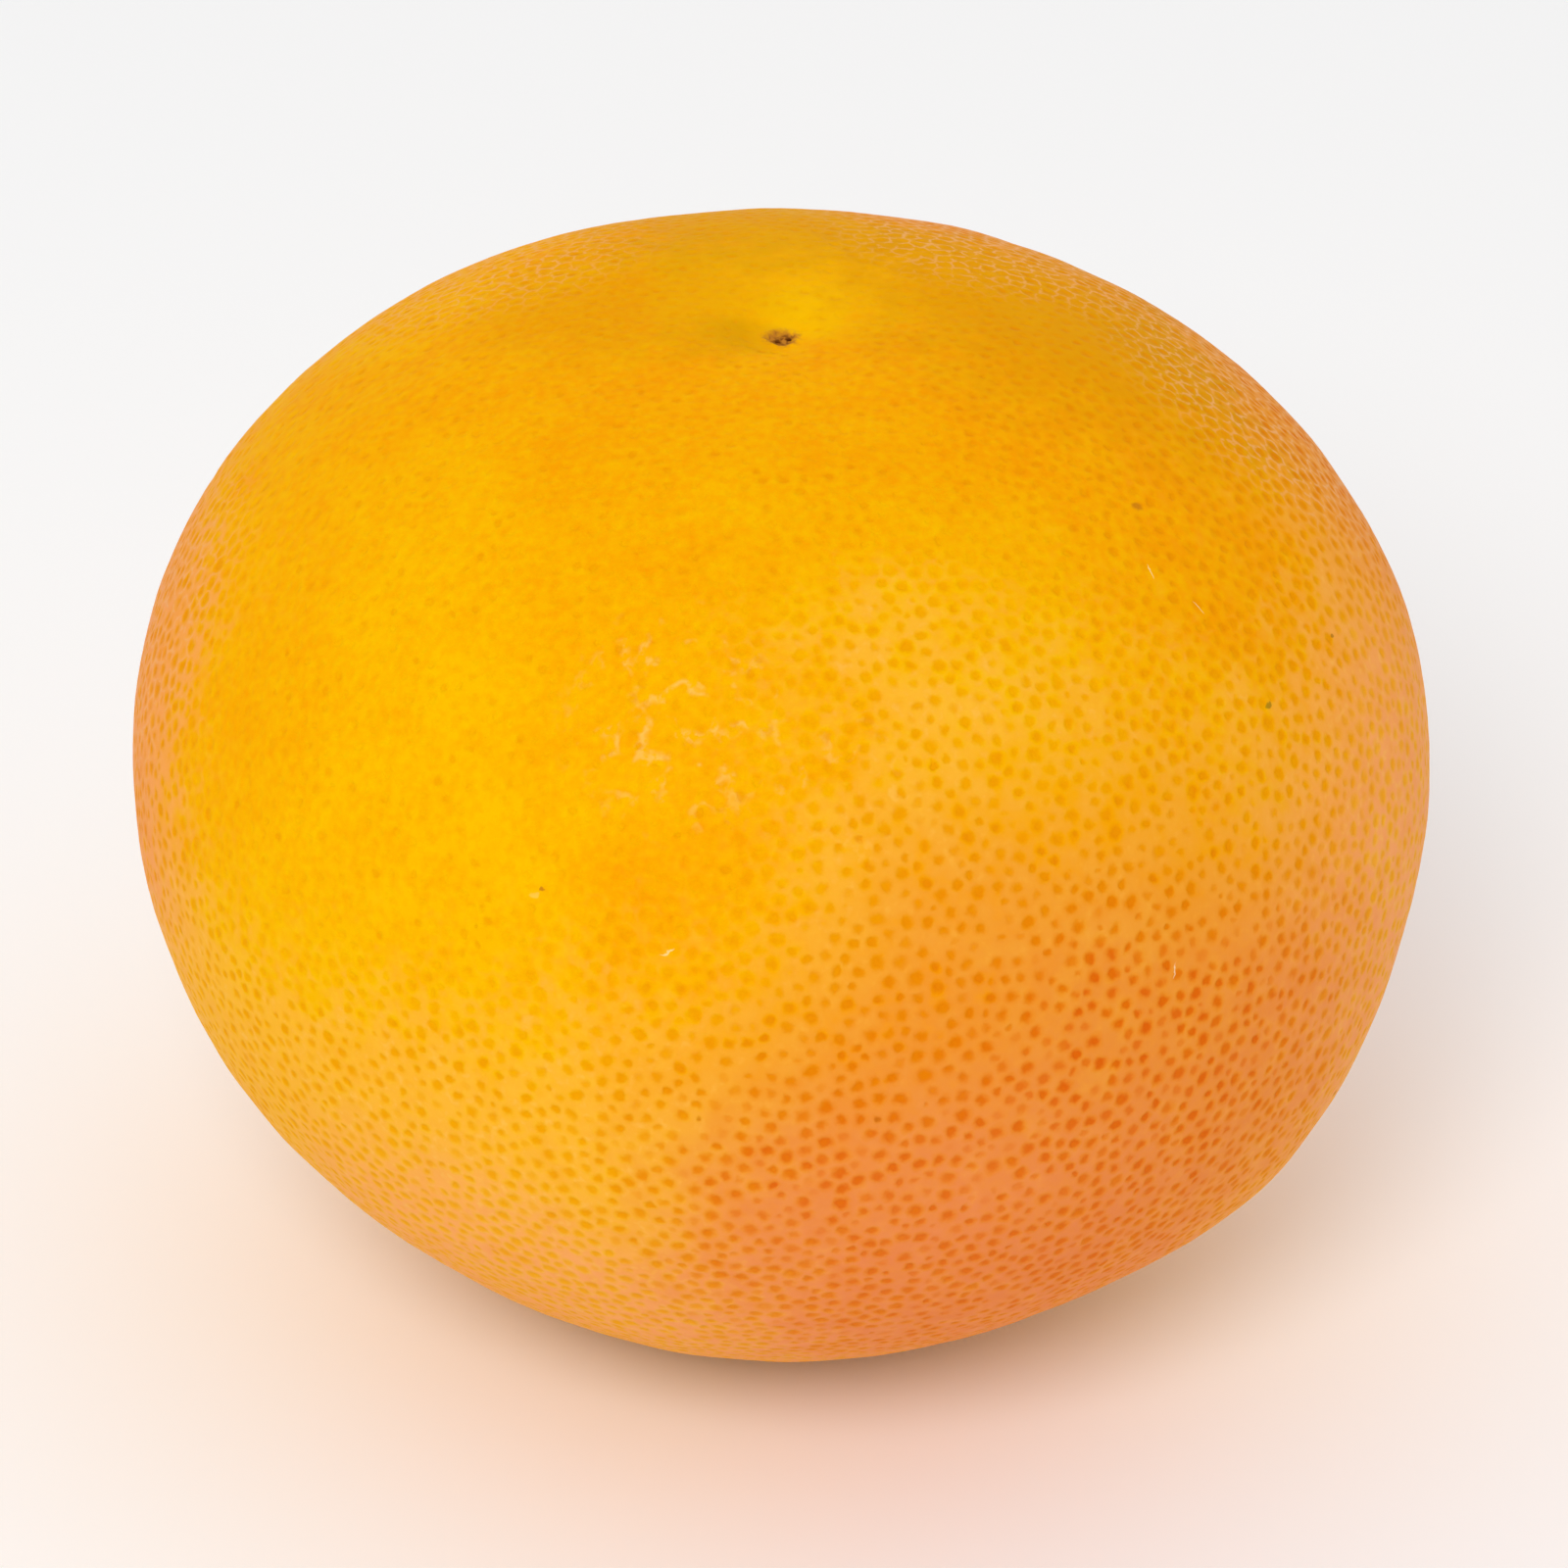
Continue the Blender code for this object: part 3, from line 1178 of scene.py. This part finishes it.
@dataclass(frozen=True)
class CalyxFinish:
    """Dry brown-green calyx with a paler woody stub.

    Attributes:
        dry: Its main colour.
        dark: Its darker flecks.
        wood: The stub's cut wood.
    """

    dry: str = "7C6A34"
    dark: str = "463718"
    wood: str = "B49A68"

    def material(self, calyx: Calyx) -> bpy.types.Material:
        """Make the calyx's material.

        Args:
            calyx: The calyx that wears it.

        Returns:
            The material.
        """
        tree = ShaderTree("calyx_finish")
        place = tree.place()
        fleck = tree.noise(place, 0.0007, 4.0)
        colour = tree.mix(fleck.ease(0.35, 0.70), self.dry, self.dark)
        level = tree.vector("MULTIPLY", place, (1.0, 1.0, 0.0))
        reach = tree.vector("DISTANCE", level, (0.0, 0.0, 0.0))
        cut = reach.ease(calyx.stub_radius, calyx.stub_radius * 0.8)
        colour = tree.mix(cut * (0.4 + fleck * 0.6), colour, self.wood)
        normal = tree.bump(fleck, 0.6, 0.0001)
        return tree.finish(Base_Color=colour, Roughness=0.70 + fleck * 0.2, Normal=normal)


@dataclass
class Studio:
    """The pale floor, the soft light and the camera.

    Attributes:
        elevation: How far above the horizon the camera stands, in degrees.
        distance: From the camera to the point that it looks at.
        lens: Focal length in millimetres.
        sensor: How wide the sensor is, in millimetres.
        aim: The point that the camera looks at, from the middle of the fruit.
        key_azimuth: Where the key light stands.
        key_latitude: How high it stands.
        key_distance: How far away it is.
        key_size: How wide it is.
        key_power: Its power in watts.
        sky_behind: How bright the surroundings are behind the fruit.
        sky_before: How bright they are on the camera's side.
        floor_colour: The floor's colour.
        floor_size: How wide the floor is.
    """

    elevation: float = 32.0
    distance: float = 0.65
    lens: float = 183.5
    sensor: float = 36.0
    aim: Triple = (0.00022, 0.0, 0.00046)
    key_azimuth: float = -104.0
    key_latitude: float = 43.0
    key_distance: float = 1.1
    key_size: float = 0.45
    key_power: float = 4.05
    sky_behind: float = 0.96
    sky_before: float = 0.58
    floor_colour: str = "FCFCFC"
    floor_size: float = 8.0

    def build(self, form: FruitForm) -> None:
        """Set the stage round the fruit."""
        self._floor()
        self._key(form.middle)
        self._surroundings()
        self._camera(form.middle)

    def _floor(self) -> None:
        """Lay the floor."""
        shape = bmesh.new()
        bmesh.ops.create_grid(shape, x_segments=1, y_segments=1, size=self.floor_size / 2.0)
        floor = add_shape("floor", shape)
        tree = ShaderTree("floor_finish")
        floor.data.materials.append(tree.finish(Base_Color=self.floor_colour, Roughness=0.9))

    def _key(self, middle: Vector) -> None:
        """Hang the key light, near the camera and to its upper left."""
        light = bpy.data.lights.new("key", "AREA")
        light.shape = "DISK"
        light.size = self.key_size
        light.energy = self.key_power
        back = towards(self.key_azimuth, self.key_latitude) * self.key_distance
        look_back(add("key", light), middle, back)

    def _surroundings(self) -> None:
        """Light the surroundings softly, darker on the camera's side."""
        world = bpy.data.worlds.new("surroundings")
        world.use_nodes = True
        nodes = world.node_tree.nodes
        links = world.node_tree.links
        background = nodes["Background"]
        background.inputs["Strength"].default_value = 1.0
        place = nodes.new("ShaderNodeTexCoord")
        split = nodes.new("ShaderNodeSeparateXYZ")
        ramp = nodes.new("ShaderNodeMapRange")
        limits = {"From Min": -0.9, "From Max": 0.8, "To Min": self.sky_before, "To Max": self.sky_behind}
        for name, limit in limits.items():
            ramp.inputs[name].default_value = limit
        links.new(place.outputs["Generated"], split.inputs[0])
        links.new(split.outputs["Y"], ramp.inputs["Value"])
        links.new(ramp.outputs[0], background.inputs["Color"])
        bpy.context.scene.world = world

    def _camera(self, middle: Vector) -> None:
        """Stand the camera at the photograph's angle."""
        data = bpy.data.cameras.new("camera")
        data.lens = self.lens
        data.sensor_width = self.sensor
        data.clip_start = 0.01
        data.clip_end = 50.0
        camera = add("camera", data)
        look_back(camera, middle + Vector(self.aim), towards(-90.0, self.elevation) * self.distance)
        bpy.context.scene.camera = camera


def fit(piece: bpy.types.Object, material: bpy.types.Material) -> None:
    """Dress a piece and let it stand for the fruit.

    Args:
        piece: The piece.
        material: What it wears.
    """
    piece.data.materials.append(material)
    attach(piece, BODY)
    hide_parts(FRUIT)
    LOG.info("%s: %d faces, wears %s", piece.name, len(piece.data.polygons), material.name)


def main() -> None:
    """Build and dress the fruit, then set the stage."""
    logging.basicConfig(level=logging.INFO, format="%(name)s: %(message)s")
    bpy.context.scene.view_settings.view_transform = "Standard"
    form = FruitForm()
    scar = Scar()
    glands = GlandLayout(form)
    LOG.info("%d oil glands", len(glands.places))
    fit(RindSurface(form, glands, scar).build(), RindFinish().material(form, scar))
    calyx = Calyx(form)
    fit(calyx.build(), CalyxFinish().material(calyx))
    Studio().build(form)


if __name__ == "__main__":
    main()
